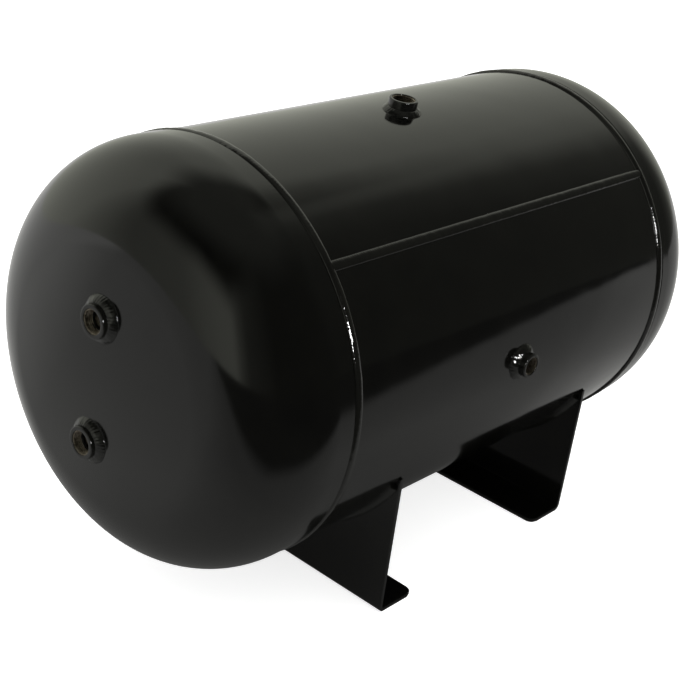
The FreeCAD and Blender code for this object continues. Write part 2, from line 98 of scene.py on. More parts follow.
def add_node(
    tree: bpy.types.NodeTree, kind: str, given: dict[Any, Any] | None = None
) -> bpy.types.Node:
    """Add a node with its settings and links.

    Args:
        tree: the tree that the node joins.
        kind: the node's type.
        given: in order, what each property by name, or each input by name or number, is to hold.
            An input takes a value, a socket that feeds it, or a node whose first output does.

    Returns:
        The new node.
    """
    made = tree.nodes.new(kind)
    for key, value in (given or {}).items():
        if isinstance(value, bpy.types.Node):
            value = value.outputs[0]
        if isinstance(value, bpy.types.NodeSocket):
            tree.links.new(value, made.inputs[key])
        elif isinstance(key, str) and hasattr(made, key):
            setattr(made, key, value)
        else:
            made.inputs[key].default_value = value
    return made


def new_tree(
    name: str, numbers: Sequence[str], wholes: Sequence[str] = ()
) -> tuple[Any, Callable[..., bpy.types.Node], Any]:
    """Start a Geometry Nodes tree with a geometry in and out, number inputs and a material.

    Args:
        name: the tree's name.
        numbers: the inputs that take any number.
        wholes: the inputs that take a whole number.

    Returns:
        The tree, what adds a node to it, and its group input's outputs.
    """
    tree = bpy.data.node_groups.new(name, "GeometryNodeTree")
    node = partial(add_node, tree)
    face = tree.interface
    for way in ("INPUT", "OUTPUT"):
        face.new_socket(name="Geometry", in_out=way, socket_type="NodeSocketGeometry")
    kinds = dict.fromkeys(numbers, "NodeSocketFloat") | dict.fromkeys(wholes, "NodeSocketInt")
    for label, kind in (kinds | {"Material": "NodeSocketMaterial"}).items():
        face.new_socket(name=label, in_out="INPUT", socket_type=kind)
    return tree, node, node("NodeGroupInput").outputs


def close_tree(tree: Any, value: Any, geometry: bpy.types.Node) -> Any:
    """End a tree in Realize Instances and Set Material, with its Material input."""
    node = partial(add_node, tree)
    real = node("GeometryNodeRealizeInstances", {"Geometry": geometry})
    painted = node("GeometryNodeSetMaterial", {"Geometry": real, "Material": value["Material"]})
    node("NodeGroupOutput", {0: painted})
    return tree


def new_material(name: str) -> tuple[Any, Callable[..., bpy.types.Node], bpy.types.NodeSocket]:
    """Start an empty material.

    Args:
        name: the material's name.

    Returns:
        The material, what adds a node to it, and its Object coordinates.
    """
    material = bpy.data.materials.new(name)
    material.use_nodes = True
    material.node_tree.nodes.clear()
    node = partial(add_node, material.node_tree)
    return material, node, node("ShaderNodeTexCoord").outputs["Object"]


def new_object(name: str, mesh: bpy.types.Mesh) -> bpy.types.Object:
    """Put a mesh in the scene as an object at the origin."""
    made = bpy.data.objects.new(name, mesh)
    bpy.context.scene.collection.objects.link(made)
    return made


def mesh_of(
    name: str,
    points: Iterable[Sequence[float]],
    faces: Sequence[Sequence[int]] = (),
    edges: Sequence[Sequence[int]] = (),
) -> bpy.types.Mesh:
    """A mesh from points, faces and loose edges, shaded smooth."""
    mesh = bpy.data.meshes.new(name)
    mesh.from_pydata([tuple(p) for p in points], list(edges), list(faces))
    mesh.update()
    if faces:
        mesh.shade_smooth()
    return mesh


def paint(mesh: bpy.types.Mesh, material: bpy.types.Material) -> None:
    """Give a mesh one material in place of those it has."""
    mesh.materials.clear()
    mesh.materials.append(material)


def settle(
    piece: bpy.types.Object, material: bpy.types.Material | None = None
) -> bpy.types.Object:
    """Apply a piece's modifiers to its mesh and remove them.

    Args:
        piece: the object to finish.
        material: its one material afterwards, or nothing to keep what the tree set.

    Returns:
        The same object with a plain mesh.
    """
    graph = bpy.context.evaluated_depsgraph_get()
    mesh = bpy.data.meshes.new_from_object(
        piece.evaluated_get(graph), preserve_all_data_layers=True, depsgraph=graph
    )
    piece.modifiers.clear()
    piece.data = mesh
    if material:
        paint(mesh, material)
    return piece


def grow(
    name: str, mesh: bpy.types.Mesh, tree: Any, values: dict[str, Any]
) -> bpy.types.Object:
    """Run a Geometry Nodes tree on a mesh and keep the result as a plain mesh.

    Args:
        name: the piece's name.
        mesh: what the tree starts from.
        tree: the tree.
        values: the tree's named inputs.

    Returns:
        The finished object.
    """
    piece = new_object(name, mesh)
    modifier = piece.modifiers.new(tree.name, "NODES")
    modifier.node_group = tree
    for item in tree.interface.items_tree:
        if item.in_out == "INPUT" and item.name in values:
            modifier[item.identifier] = values[item.name]
    return settle(piece)


def finish_piece(piece: bpy.types.Object, slot: str, *nodes: str) -> None:
    """Ride a piece on the tank, hide the CAD nodes that it stands for and log its faces."""
    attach(piece, ROOT)
    if nodes:
        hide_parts(*nodes)
    log.info("%s: %d faces", piece.name, len(piece.data.polygons))


def arc(centre: Point, radius: float, start: float, end: float, steps: int) -> list[Point]:
    """Points along an arc in a section between two angles in degrees, both ends included."""
    turns = [math.radians(start + (end - start) * i / steps) for i in range(steps + 1)]
    return [(centre[0] + radius * math.cos(t), centre[1] + radius * math.sin(t)) for t in turns]


def turns_of(steps: int) -> list[float]:
    """Angles in radians once round, evenly apart."""
    return [2 * math.pi * i / steps for i in range(steps)]


def turned(name: str, section: Sequence[Point], steps: int, closed: bool = True) -> bpy.types.Mesh:
    """Turn a section once round Z into a closed mesh.

    Args:
        name: the mesh's name.
        section: radius and height of each point, with the solid on the left of the way along. A
            radius of zero makes a pole.
        steps: facets round the axis.
        closed: whether the section's end joins its start.

    Returns:
        The mesh, with its normals out.
    """
    points: list[tuple[float, float, float]] = []
    rings: list[list[int]] = []
    for radius, height in section:
        if radius < 1e-9:
            rings.append([len(points)] * steps)
            points.append((0.0, 0.0, height))
            continue
        rings.append(list(range(len(points), len(points) + steps)))
        for turn in turns_of(steps):
            points.append((radius * math.cos(turn), radius * math.sin(turn), height))
    faces: list[tuple[int, ...]] = []
    last = len(rings) if closed else len(rings) - 1
    for k in range(last):
        low, high = rings[k], rings[(k + 1) % len(rings)]
        for i in range(steps):
            j = (i + 1) % steps
            corners = dict.fromkeys((low[i], low[j], high[j], high[i]))
            if len(corners) > 2:
                faces.append(tuple(corners))
    mesh = mesh_of(name, points, faces)
    face_out(mesh)
    return mesh


def face_out(mesh: bpy.types.Mesh) -> None:
    """Merge a closed mesh's doubles and point its faces out."""
    work = bmesh.new()
    work.from_mesh(mesh)
    bmesh.ops.remove_doubles(work, verts=work.verts, dist=1e-7)
    bmesh.ops.recalc_face_normals(work, faces=work.faces)
    if work.calc_volume(signed=True) < 0:
        bmesh.ops.reverse_faces(work, faces=work.faces)
    work.to_mesh(mesh)
    work.free()


def true_normals(
    mesh: bpy.types.Mesh, normal_at: Callable[[Vector], Vector | None], spread: float = 22.0
) -> None:
    """Shade a mesh by the surface that it stands for, so that reflections run true over its facets.

    Args:
        mesh: the mesh, in its final place.
        normal_at: the outward normal of the skin near a point, or None away from it.
        spread: faces that lean more than this many degrees from it keep their own normal.
    """
    limit = math.cos(math.radians(spread))
    normals: list[Vector] = [Vector()] * len(mesh.loops)
    for face in mesh.polygons:
        for loop in face.loop_indices:
            point = mesh.vertices[mesh.loops[loop].vertex_index].co
            skin = normal_at(point)
            if skin is not None and abs(skin.dot(face.normal)) > limit:
                normals[loop] = skin if skin.dot(face.normal) > 0 else -skin
            else:
                normals[loop] = face.normal.copy()
    mesh.normals_split_custom_set([tuple(n) for n in normals])


def bore_through(
    piece: bpy.types.Object, cutters: Sequence[bpy.types.Object]
) -> bpy.types.Object:
    """Cut holes right through a piece and remove the cutting bodies."""
    for cutter in cutters:
        cut = piece.modifiers.new(cutter.name, "BOOLEAN")
        cut.operation = "DIFFERENCE"
        cut.solver = "EXACT"
        cut.object = cutter
    settle(piece)
    for cutter in cutters:
        bpy.data.objects.remove(cutter)
    return piece


# ---------------------------------------------------------------- finishes


@dataclass(frozen=True)
class BlackEnamel:
    """Air-drying gloss black enamel, sprayed on steel.

    A thin hard gloss over a black with a trace of olive, so the eye sees reflections and almost no
    colour. Spraying leaves a fine orange peel, and the sheet under it a long slow ripple.
    """

    name: str
    colour: str = "#030303"
    thin_colour: str = "#090907"  # where the coat is thin and lets the primer through
    ior: float = 1.5
    roughness: float = 0.085
    patch_mm: float = 28.0  # width of a duller or thinner patch
    haze: float = 0.05  # added to the roughness in the duller patches
    peel_mm: float = 1.6
    peel_depth_mm: float = 0.0012
    ripple_mm: float = 55.0
    ripple_depth_mm: float = 0.016
    nib_mm: float = 9.0  # mean distance between dust nibs caught in the wet coat
    nib_depth_mm: float = 0.02

    def build(self) -> bpy.types.Material:
        """Build the material's nodes.

        Returns:
            The material.
        """
        material, node, place = new_material(self.name)
        patches = node("ShaderNodeTexNoise", {
            "Scale": 1 / (self.patch_mm * MM), "Detail": 4.0, "Roughness": 0.6, "Vector": place})
        haze = node("ShaderNodeMapRange", {
            "From Min": 0.42, "From Max": 0.72, "To Min": self.roughness,
            "To Max": self.roughness + self.haze, "Value": patches})
        colour = node("ShaderNodeMix", {
            "data_type": "RGBA", 6: linear(self.colour), 7: linear(self.thin_colour), 0: patches})
        ripple = node("ShaderNodeTexNoise", {
            "Scale": 1 / (self.ripple_mm * MM), "Detail": 1.0, "Vector": place})
        long_bump = node("ShaderNodeBump", {
            "Strength": 1.0, "Distance": self.ripple_depth_mm * MM * RIPPLE_GAIN, "Height": ripple})
        peel = node("ShaderNodeTexNoise", {
            "Scale": 1 / (self.peel_mm * MM), "Detail": 1.0, "Vector": place})
        peel_bump = node("ShaderNodeBump", {
            "Strength": 1.0, "Distance": self.peel_depth_mm * MM * PEEL_GAIN, "Height": peel,
            "Normal": long_bump})
        nibs = node("ShaderNodeTexVoronoi", {"Scale": 1 / (self.nib_mm * MM), "Vector": place})
        heads = node("ShaderNodeMapRange", {
            "From Min": 0.0, "From Max": 0.04, "To Min": 1.0, "To Max": 0.0, "Value": nibs})
        nib_bump = node("ShaderNodeBump", {
            "Strength": 0.6, "Distance": self.nib_depth_mm * MM, "Height": heads,
            "Normal": peel_bump})
        shader = node("ShaderNodeBsdfPrincipled", {
            "Metallic": 0.0, "IOR": self.ior, "Base Color": colour.outputs[2], "Roughness": haze,
            "Normal": nib_bump})
        node("ShaderNodeOutputMaterial", {"Surface": shader})
        return material


@dataclass(frozen=True)
class TappedSteel:
    """Cut steel left unpainted in a tapped bore, filmed with brown cutting oil.

    The cut metal is bright at its crests, and the oil and a little rust brown its roots.
    """

    name: str
    oil: str = "#4c4337"
    steel: str = "#a39a8c"
    roughness: float = 0.36
    stain_mm: float = 2.2
    mark_depth_mm: float = 0.03

    def build(self) -> bpy.types.Material:
        """Build the material's nodes.

        Returns:
            The material.
        """
        material, node, place = new_material(self.name)
        stain = node("ShaderNodeTexNoise", {
            "Scale": 1 / (self.stain_mm * MM), "Detail": 5.0, "Roughness": 0.65, "Vector": place})
        spread = node("ShaderNodeMapRange", {"From Min": 0.35, "From Max": 0.65, "Value": stain})
        colour = node("ShaderNodeMix", {
            "data_type": "RGBA", 6: linear(self.oil), 7: linear(self.steel), 0: spread})
        gloss = node("ShaderNodeMapRange", {
            "To Min": self.roughness, "To Max": self.roughness + 0.2, "Value": stain})
        marks = node("ShaderNodeBump", {
            "Strength": 0.5, "Distance": self.mark_depth_mm * MM, "Height": stain})
        shader = node("ShaderNodeBsdfPrincipled", {
            "Metallic": 1.0, "Base Color": colour.outputs[2], "Roughness": gloss, "Normal": marks})
        node("ShaderNodeOutputMaterial", {"Surface": shader})
        return material


class Slot(Enum):
    """The record's material slots."""

    SHELL = "shell_enamel"
    HEAD = "head_enamel"
    WELD = "weld_enamel"
    PORT = "port_enamel"
    FOOT = "foot_enamel"
    THREAD = "bare_thread"


def build_finishes() -> dict[Slot, bpy.types.Material]:
    """Build one material for each slot.

    Returns:
        The materials by slot.
    """
    finishes = {
        Slot.SHELL: BlackEnamel("gloss_enamel_on_rolled_sheet", ripple_depth_mm=0.028),
        Slot.HEAD: BlackEnamel(
            "gloss_enamel_on_pressed_steel", roughness=0.105, ripple_mm=70.0, ripple_depth_mm=0.02
        ),
        Slot.WELD: BlackEnamel(
            "gloss_enamel_on_weld_metal",
            roughness=0.07,
            haze=0.03,
            ripple_mm=4.0,
            ripple_depth_mm=0.012,
        ),
        Slot.PORT: BlackEnamel(
            "gloss_enamel_on_turned_steel", roughness=0.09, ripple_mm=12.0, ripple_depth_mm=0.003
        ),
        Slot.FOOT: BlackEnamel(
            "gloss_enamel_on_bent_sheet", roughness=0.11, ripple_mm=45.0, ripple_depth_mm=0.02
        ),
        Slot.THREAD: TappedSteel("oily_tapped_steel"),
    }
    return {slot: finish.build() for slot, finish in finishes.items()}


# ---------------------------------------------------------------- Geometry Nodes trees


def bead_tree() -> Any:
    """The tree that lays a weld bead along a path of edges.

    A rounded section follows the path, with ripples where each drop of metal froze, a slow wander
    in width and lumps.

    Returns:
        The tree.
    """
    tree, node, value = new_tree("weld_bead", (
        "Step", "Half Width", "Height", "Power", "Ripple Pitch", "Ripple Depth", "Bow",
        "Lump Size", "Lump Depth", "Seed"))
    path = node("GeometryNodeMeshToCurve", {"Mesh": value["Geometry"]})
    evened = node("GeometryNodeResampleCurve", {
        "mode": "LENGTH", "Curve": path, "Length": value["Step"]})
    level = node("GeometryNodeSetCurveNormal", {"mode": "Z_UP", "Curve": evened})
    travel = node("GeometryNodeSplineParameter")
    marked = node("GeometryNodeStoreNamedAttribute", {
        "data_type": "FLOAT", "domain": "POINT", "Name": "along", "Geometry": level,
        "Value": travel.outputs["Length"]})
    ring = node("GeometryNodeCurvePrimitiveCircle", {"Resolution": 28, "Radius": 1.0})
    here = node("GeometryNodeInputPosition")
    axes = node("ShaderNodeSeparateXYZ", {0: here})
    section = node("GeometryNodeStoreNamedAttribute", {
        "data_type": "FLOAT", "domain": "POINT", "Name": "across", "Geometry": ring,
        "Value": axes.outputs["X"]})
    # A power below one squares the circle off, so that the bead has a flat top and steep toes.
    squared = {}
    for axis in ("X", "Y"):
        size = node("ShaderNodeMath", {"operation": "ABSOLUTE", 0: axes.outputs[axis]})
        grown = node("ShaderNodeMath", {"operation": "POWER", 0: size, 1: value["Power"]})
        side = node("ShaderNodeMath", {"operation": "SIGN", 0: axes.outputs[axis]})
        squared[axis] = node("ShaderNodeMath", {
            "operation": "MULTIPLY", 0: grown, 1: side}).outputs[0]
    corner = node("ShaderNodeCombineXYZ", squared)
    reshaped = node("GeometryNodeSetPosition", {"Geometry": section, "Position": corner})
    scale = node("ShaderNodeCombineXYZ", {"Z": 1.0, "X": value["Half Width"], "Y": value["Height"]})
    sized = node("GeometryNodeTransform", {"Geometry": reshaped, "Scale": scale})
    swept = node("GeometryNodeCurveToMesh", {
        "Fill Caps": True, "Curve": marked, "Profile Curve": sized})
    along = node("GeometryNodeInputNamedAttribute", {"data_type": "FLOAT", "Name": "along"})
    across = node("GeometryNodeInputNamedAttribute", {"data_type": "FLOAT", "Name": "across"})
    square = node("ShaderNodeMath", {
        "operation": "MULTIPLY", 0: across.outputs["Attribute"], 1: across.outputs["Attribute"]})
    bowed = node("ShaderNodeMath", {
        "operation": "MULTIPLY_ADD", 0: square, 1: value["Bow"], 2: along.outputs["Attribute"]})
    count = node("ShaderNodeMath", {"operation": "DIVIDE", 0: bowed, 1: value["Ripple Pitch"]})
    phase = node("ShaderNodeMath", {"operation": "MULTIPLY", 1: math.pi, 0: count})
    wave = node("ShaderNodeMath", {"operation": "SINE", 0: phase})
    scales = node("ShaderNodeMath", {"operation": "ABSOLUTE", 0: wave})
    ripple = node("ShaderNodeMath", {"operation": "MULTIPLY", 0: scales, 1: value["Ripple Depth"]})
    spacing = node("ShaderNodeMath", {"operation": "DIVIDE", 0: 1.0, 1: value["Lump Size"]})
    noise = node("ShaderNodeTexNoise", {
        "noise_dimensions": "4D", "Detail": 2.0, "Vector": here, "W": value["Seed"],
        "Scale": spacing})
    middled = node("ShaderNodeMath", {"operation": "SUBTRACT", 1: 0.5, 0: noise})
    lump = node("ShaderNodeMath", {
        "operation": "MULTIPLY_ADD", 0: middled, 1: value["Lump Depth"], 2: ripple})
    out = node("GeometryNodeInputNormal")
    push = node("ShaderNodeVectorMath", {
        "operation": "SCALE", 0: out.outputs["Normal"], "Scale": lump})
    moved = node("GeometryNodeSetPosition", {"Geometry": swept, "Offset": push})
    smooth = node("GeometryNodeSetShadeSmooth", {"Geometry": moved})
    return close_tree(tree, value, smooth)


def spatter_tree() -> Any:
    """The tree that scatters frozen drops of weld spatter over a strip, and keeps only the drops.

    Returns:
        The tree.
    """
    tree, node, value = new_tree("weld_spatter", ("Density", "Smallest", "Largest"), ("Seed",))
    spots = node("GeometryNodeDistributePointsOnFaces", {
        "Mesh": value["Geometry"], "Density": value["Density"], "Seed": value["Seed"]})
    size = node("FunctionNodeRandomValue", {
        "data_type": "FLOAT", 2: value["Smallest"], 3: value["Largest"], 8: value["Seed"]})
    drop = node("GeometryNodeMeshIcoSphere", {"Radius": 1.0, "Subdivisions": 2})
    placed = node("GeometryNodeInstanceOnPoints", {
        "Points": spots, "Instance": drop, "Scale": size.outputs[1]})
    real = node("GeometryNodeRealizeInstances", {"Geometry": placed})
    smooth = node("GeometryNodeSetShadeSmooth", {"Geometry": real})
    return close_tree(tree, value, smooth)


def thread_tree() -> Any:
    """The tree that cuts a screw thread outwards into the bore of a sleeve round Z.

    The sleeve's "cut" attribute says where: one along the bore, falling to nothing at its ends.

    Returns:
        The tree.
    """
    tree, node, value = new_tree("pipe_thread", ("Pitch", "Depth"))
    here = node("GeometryNodeInputPosition")
    axes = node("ShaderNodeSeparateXYZ", {0: here})
    angle = node("ShaderNodeMath", {
        "operation": "ARCTAN2", 0: axes.outputs["Y"], 1: axes.outputs["X"]})
    turns = node("ShaderNodeMath", {"operation": "DIVIDE", 1: 2 * math.pi, 0: angle})
    rise = node("ShaderNodeMath", {"operation": "DIVIDE", 0: axes.outputs["Z"], 1: value["Pitch"]})
    lead = node("ShaderNodeMath", {"operation": "SUBTRACT", 0: rise, 1: turns})
    flank = node("ShaderNodeMath", {"operation": "PINGPONG", 1: 0.5, 0: lead})
    where = node("GeometryNodeInputNamedAttribute", {"data_type": "FLOAT", "Name": "cut"})
    depth = node("ShaderNodeMath", {
        "operation": "MULTIPLY", 0: value["Depth"], 1: where.outputs["Attribute"]})
    groove = node("ShaderNodeMath", {"operation": "MULTIPLY", 0: flank, 1: depth})
    doubled = node("ShaderNodeMath", {"operation": "MULTIPLY", 1: 2.0, 0: groove})
    flat = node("ShaderNodeCombineXYZ", {"X": axes.outputs["X"], "Y": axes.outputs["Y"]})
    out = node("ShaderNodeVectorMath", {"operation": "NORMALIZE", 0: flat})
    push = node("ShaderNodeVectorMath", {"operation": "SCALE", 0: out, "Scale": doubled})
    moved = node("GeometryNodeSetPosition", {"Geometry": value["Geometry"], "Offset": push})
    return close_tree(tree, value, moved)


@dataclass(frozen=True)
class Trees:
    """The Geometry Nodes trees that the tank's pieces share."""

    bead: Any
    spatter: Any
    thread: Any


def even_pitch(length: float, pitch: float) -> float:
    """The pitch closest to the one given that goes a whole number of times into a length."""
    return length / round(length / pitch)


def lay_bead(
    name: str,
    node: str,
    path: Sequence[Sequence[float]],
    closed: bool,
    place: Matrix,
    tree: Any,
    values: dict[str, Any],
) -> None:
    """Lay a bead of weld and finish it as a piece.

    Args:
        name: the piece's name.
        node: the CAD node that it stands for.
        path: the points that it follows.
        closed: whether the path's end joins its start.
        place: what carries it to its place.
        tree: the bead's tree.
        values: the tree's named inputs.
    """
    last = len(path) if closed else len(path) - 1
    edges = [(i, (i + 1) % len(path)) for i in range(last)]
    piece = grow(name, mesh_of(f"{name}_path", path, edges=edges), tree, values)
    piece.data.transform(place)
    finish_piece(piece, Slot.WELD.value, node)


# ---------------------------------------------------------------- the tank's own form


@dataclass(frozen=True)
class TankForm:
    """The outer form that everything else sits on, read from the frame's boxes."""

    shell_radius: float
    head_radius: float
    axis_z: float
    shell_front: float
    shell_rear: float
    front_joint: float
    rear_joint: float
    wall: float = 3.0 * MM
    knuckle_radius: float = 69.5 * MM
    joggle_run: float = 2.6 * MM
    half_gap: float = 1.0 * MM
    lip_length: float = 12.0 * MM
    lip_clearance: float = 0.1 * MM
    crown_radius: float = 900.0 * MM

    @classmethod
    def from_frame(cls) -> "TankForm":
        """Read the form from the boxes of the shell, the heads and the girth welds."""
        shell_low, shell_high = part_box("shell")
        head_low, head_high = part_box("front_head")
        front_low, front_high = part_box("front_girth_weld")
        rear_low, rear_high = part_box("rear_girth_weld")
        return cls(
            shell_radius=-shell_low.x,
            head_radius=(head_high.z - head_low.z) / 2,
            axis_z=(front_low.z + front_high.z) / 2,
            shell_front=shell_low.y,
            shell_rear=shell_high.y,
            front_joint=(front_low.y + front_high.y) / 2,
            rear_joint=(rear_low.y + rear_high.y) / 2,
        )

    @property
    def knuckle_reach(self) -> float:
        """Distance from the tank's axis to the centre of a knuckle's arc."""
        return self.head_radius - self.knuckle_radius

    def to_world(self, joint_y: float, way: float) -> Matrix:
        """Carry a form turned round Z, with Z along the way out, to the tank's axis."""
        turn = Matrix.Rotation(math.radians(90 if way < 0 else -90), 4, "X")
        return Matrix.Translation((0, joint_y, self.axis_z)) @ turn


def bore_cutter(name: str, place: Matrix, radius: float, low: float, high: float) -> Any:
    """A cylinder along a port's axis, from one height to another in the port's own frame."""
    section = [(0.0, low), (radius, low), (radius, high), (0.0, high)]
    mesh = turned(name, section, 96, closed=False)
    mesh.transform(place)
    return new_object(name, mesh)


@dataclass
class Port:
    """A tapped boss with its bead of weld and its thread."""

    name: str
    form: TankForm
    wall: float  # bore to outside of the boss
    countersink: float
    leg: float
    lump: float
    seed: float
    on_head: bool = False
    edge_break: float = 0.8 * MM
    pitch: float = 25.4 / 18 * MM  # both pipe threads have 18 turns to the inch
    thread_depth: float = 0.95 * MM
    fit: float = 0.1 * MM
    facets: int = 96

    def __post_init__(self) -> None:
        """Read the bore's place and size from the record's mount."""
        mounts = {m["name"]: m for m in frame["record"]["mounts"]}
        mount = mounts[self.name]
        self.centre = Vector(mount["pos_m"])
        self.axis = Vector(mount["axis"]).normalized()
        self.bore = mount["dims"]["r_mm"] * MM
        self.length = mount["dims"]["length_mm"] * MM
        self.outer = self.bore + self.wall
        self.bottom = -self.length / 2
        self.face = self.length / 2 + self.countersink
        along = Vector((1, 0, 0)) if self.on_head else Vector((0, 1, 0))
        across = self.axis.cross(along)
        turn = Matrix((along, across, self.axis)).transposed().to_4x4()
        self.place = Matrix.Translation(self.centre) @ turn

    def surface(self, x: float, y: float) -> float:
        """Height of the plate's skin over a point of the port's own frame."""
        if self.on_head:
            low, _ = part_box("front_head")
            point = self.place @ Vector((x, y, 0))
            radius = math.hypot(point.x, point.z - self.form.axis_z)
            drop = self.form.crown_radius - math.sqrt(self.form.crown_radius**2 - radius**2)
            return self.centre.y - low.y - drop
        start = math.hypot(self.centre.x, self.centre.z - self.form.axis_z)
        return math.sqrt(self.form.shell_radius**2 - y**2) - start

    def cutter(self) -> Any:
        """The body that cuts this port's hole in its plate."""
        margin = 12 * MM
        radius = self.outer + self.fit
        return bore_cutter(
            f"{self.name}_cutter", self.place, radius, self.bottom - margin, self.face
        )

    def make_boss(self, enamel: bpy.types.Material) -> None:
        """Turn the boss, with rounded edges and a bore that takes the threaded sleeve."""
        sleeve = self.bore + self.countersink + 0.05 * MM
        soft = 0.25 * MM
        chamfer = self.edge_break
        section = [
            (sleeve, self.bottom),
            (self.outer, self.bottom),
            *arc((self.outer - chamfer, self.face - chamfer), chamfer, 0, 90, 6),
            *arc((sleeve + soft, self.face - soft), soft, 90, 180, 3),
        ]
        mesh = turned(f"{self.name}_boss", section, self.facets)
        mesh.transform(self.place)
        mesh.materials.append(enamel)
        piece = new_object(f"{self.name}_boss", mesh)
        piece.data.set_sharp_from_angle(angle=math.radians(35))
        finish_piece(piece, Slot.PORT.value, self.name)

    def make_thread(self, tree: Any, steel: bpy.types.Material) -> None:
        """Cut the thread into a bare sleeve that lines the boss, up to its countersunk mouth."""
        top = self.length / 2
        outside = self.bore + self.countersink
        mouth = self.face - 0.35 * MM
        rows = int((top - self.bottom) / self.pitch * 12)
        heights = [top + (self.bottom - top) * i / rows for i in range(rows + 1)]
        section = [(outside, self.bottom), (outside, mouth), *[(self.bore, z) for z in heights]]
        mesh = turned(f"{self.name}_thread", section, self.facets)
        cut = mesh.attributes.new("cut", "FLOAT", "POINT")
        fade = self.pitch * 0.25
        for vertex, mark in zip(mesh.vertices, cut.data):
            inside = math.hypot(vertex.co.x, vertex.co.y) < self.bore + 0.05 * MM
            room = min(top - vertex.co.z, vertex.co.z - self.bottom)
            mark.value = min(1.0, max(0.0, room / fade)) if inside else 0.0
        piece = grow(f"{self.name}_thread", mesh, tree, {
            "Pitch": self.pitch, "Depth": self.thread_depth, "Material": steel})
        piece.data.transform(self.place)
        finish_piece(piece, Slot.THREAD.value)

    def make_bead(self, tree: Any, enamel: bpy.types.Material) -> None:
        """Lay a fillet of weld in the corner of boss and plate."""
        radius = self.outer
        path = []
        for turn in turns_of(120):
            x, y = radius * math.cos(turn), radius * math.sin(turn)
            path.append((x, y, self.surface(x, y) - 0.3 * MM))
        lay_bead(f"{self.name}_bead", f"{self.name}_weld", path, True, self.place, tree, {
            "Step": 0.35 * MM, "Half Width": self.leg * 1.1, "Height": self.leg * 1.05,
            "Power": 1.6, "Ripple Pitch": even_pitch(2 * math.pi * radius, 1.9 * MM),
            "Ripple Depth": 0.16 * MM, "Bow": 1.2 * MM, "Lump Size": 4.2 * MM,
            "Lump Depth": self.lump, "Seed": self.seed, "Material": enamel})


@dataclass
class Barrel:
    """The rolled shell."""

    form: TankForm
    ring_step: float = 4.5 * MM

    def make(self, enamel: bpy.types.Material, ports: Sequence[Port]) -> None:
        """Turn the shell and cut the ports' holes in it."""
        form = self.form
        length = form.shell_rear - form.shell_front
        rows = int(length / self.ring_step)
        heights = [length * i / rows for i in range(rows + 1)]
        inner = form.shell_radius - form.wall
        section = [(form.shell_radius, z) for z in heights]
        section += [(inner, z) for z in reversed(heights)]
        mesh = turned("rolled_shell", section, ROUND_STEPS)
        mesh.transform(form.to_world(form.shell_front, 1))
        piece = bore_through(new_object("rolled_shell", mesh), [p.cutter() for p in ports])

        def normal(point: Vector) -> Vector | None:
            """The barrel's normal at a point."""
            return Vector((point.x, 0, point.z - form.axis_z)).normalized()

        paint(piece.data, enamel)
        true_normals(piece.data, normal)
        finish_piece(piece, Slot.SHELL.value, "shell")


@dataclass
class DishedHead:
    """A pressed head: lip, joggle, skirt, knuckle and nearly flat crown."""

    name: str
    node: str
    form: TankForm
    joint_y: float
    way: float  # -1 for the front head, 1 for the rear one
    knuckle_steps: int = 44
    crown_steps: int = 26

    def __post_init__(self) -> None:
        """Read the head's depth from its box, and from that the start of its knuckle."""
        low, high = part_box(self.node)
        tip = high.y if self.way > 0 else low.y
        form = self.form
        self.crown_height = (tip - self.joint_y) * self.way
        self.crown_centre = self.crown_height - form.crown_radius
        # The knuckle's arc touches the crown's from inside.
        between = form.crown_radius - form.knuckle_radius
        self.skirt = self.crown_centre + math.sqrt(between**2 - form.knuckle_reach**2)

    def normal(self, point: Vector) -> Vector | None:
        """The skin's outward normal on crown, knuckle or skirt, or None by the joggle."""
        form = self.form
        side = Vector((point.x, 0, point.z - form.axis_z))
        height = (point.y - self.joint_y) * self.way
        if height <= form.half_gap + form.joggle_run + 0.2 * MM:
            return None
        if side.length < 1e-6:
            return Vector((0, self.way, 0))
        outward = side.normalized()
        if height < self.skirt:
            return outward
        lean = Vector((side.length, height - self.crown_centre)).normalized()
        if lean.x > form.knuckle_reach / (form.crown_radius - form.knuckle_radius):
            lean = Vector((side.length - form.knuckle_reach, height - self.skirt)).normalized()
        return outward * lean.x + Vector((0, self.way * lean.y, 0))

    def section(self) -> list[Point]:
        """The head's section, out over the skin and back inside."""
        form = self.form
        lip = form.shell_radius - form.wall - form.lip_clearance
        reach = form.knuckle_reach
        lean = math.degrees(math.atan2(self.skirt - self.crown_centre, reach))
        step_in = form.half_gap + form.joggle_run
        skin = [
            (lip, -form.lip_length),
            (lip, form.half_gap),
            (form.head_radius, step_in),
            (form.head_radius, (step_in + self.skirt) / 2),
            *arc((reach, self.skirt), form.knuckle_radius, 0, lean, self.knuckle_steps),
            *arc((0, self.crown_centre), form.crown_radius, lean, 90, self.crown_steps)[1:-1],
            (0.0, self.crown_height),
        ]
        inner_crown = form.crown_radius - form.wall
        inner_knuckle = form.knuckle_radius - form.wall
        inside = [
            (0.0, self.crown_height - form.wall),
            *arc((0, self.crown_centre), inner_crown, 90, lean, self.crown_steps)[1:-1],
            *arc((reach, self.skirt), inner_knuckle, lean, 0, self.knuckle_steps),
            (form.head_radius - form.wall, step_in + form.wall * 0.5),
            (lip - form.wall, form.half_gap + form.wall * 0.5),
            (lip - form.wall, -form.lip_length),
        ]
        return skin + inside

    def make(self, enamel: bpy.types.Material, ports: Sequence[Port]) -> None:
        """Turn the head and cut the ports' holes in it."""
        mesh = turned(self.name, self.section(), ROUND_STEPS)
        mesh.transform(self.form.to_world(self.joint_y, self.way))
        piece = new_object(self.name, mesh)
        if ports:
            bore_through(piece, [p.cutter() for p in ports])
        paint(piece.data, enamel)
        true_normals(piece.data, self.normal)
        finish_piece(piece, Slot.HEAD.value, self.node)


